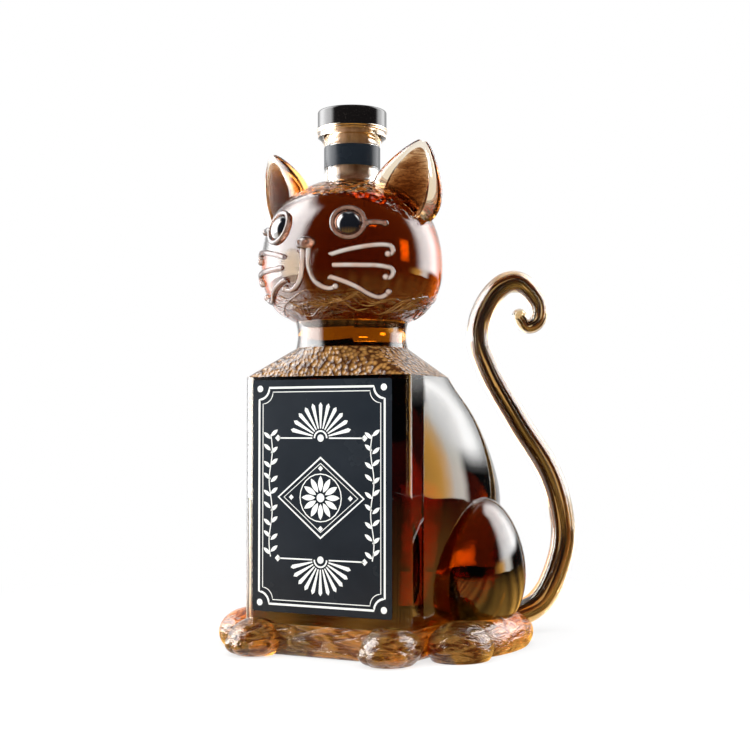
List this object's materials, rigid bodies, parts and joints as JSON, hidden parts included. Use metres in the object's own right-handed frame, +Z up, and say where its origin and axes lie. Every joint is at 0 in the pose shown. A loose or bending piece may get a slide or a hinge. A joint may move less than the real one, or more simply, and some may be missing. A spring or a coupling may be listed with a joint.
{
  "type": "figural liquor decanter",
  "caption": "Clear glass decanter in the shape of a seated cat, with a square flask chest, curled tail, thread face and a capped cork that pulls and turns.",
  "frame": {"origin": "on the base's flat underside, below the common axis of spout, head and collar", "axes": "+Z up along the spout, -Y the way the cat looks, +X its own left side, where the tail curls"},
  "size_m": [0.136, 0.1552, 0.2449],
  "materials": {
    "clear_glass": "polished",
    "hammered_glass": "hammered",
    "thread_glass": "fire polished",
    "amber_glass": "polished",
    "black_glass": "polished",
    "label_film": "printed film",
    "cap_lacquer": "gloss",
    "trim_metal": "polished",
    "cork": "natural cork",
    "dowel_wood": "plain"
  },
  "bodies": {
    "bottle": {"base_slab": "clear_glass", "collar_ring": "clear_glass", "front_label": "label_film", "head_bulb": "clear_glass", "left_ear": "clear_glass", "left_ear_inlay": "amber_glass", "left_eye_bead": "black_glass", "left_eye_corner": "thread_glass", "left_eye_ring": "thread_glass", "left_front_paw": "clear_glass", "left_haunch": "clear_glass", "left_hind_paw": "hammered_glass", "left_mouth_thread": "thread_glass", "left_muzzle_pad": "clear_glass", "left_whisker_lower": "thread_glass", "left_whisker_middle": "thread_glass", "left_whisker_upper": "thread_glass", "neck_band": "label_film", "neck_spout": "clear_glass", "nose": "thread_glass", "right_ear": "clear_glass", "right_ear_inlay": "amber_glass", "right_eye_bead": "black_glass", "right_eye_corner": "thread_glass", "right_eye_ring": "thread_glass", "right_front_paw": "clear_glass", "right_haunch": "clear_glass", "right_hind_paw": "hammered_glass", "right_mouth_thread": "thread_glass", "right_muzzle_pad": "clear_glass", "right_whisker_lower": "thread_glass", "right_whisker_middle": "thread_glass", "right_whisker_upper": "thread_glass", "shoulder_cape": "hammered_glass", "tail_casing": "clear_glass", "tail_core": "amber_glass", "torso_shell": "clear_glass"},
    "trim": {"trim_ring": "trim_metal"},
    "stopper": {"stopper_cap": "cap_lacquer", "cork_shank": "cork", "cap_dowel": "dowel_wood"}
  },
  "joints": [
    {"name": "stopper_lift", "type": "slide", "parent": "bottle", "child": "trim", "axis": [0, 0, 1], "range_m": [0, 0.05]},
    {"name": "stopper_twist", "type": "hinge", "parent": "trim", "child": "stopper", "pos_m": [0, 0, 0.236], "axis": [0, 0, 1], "continuous": true}
  ]
}
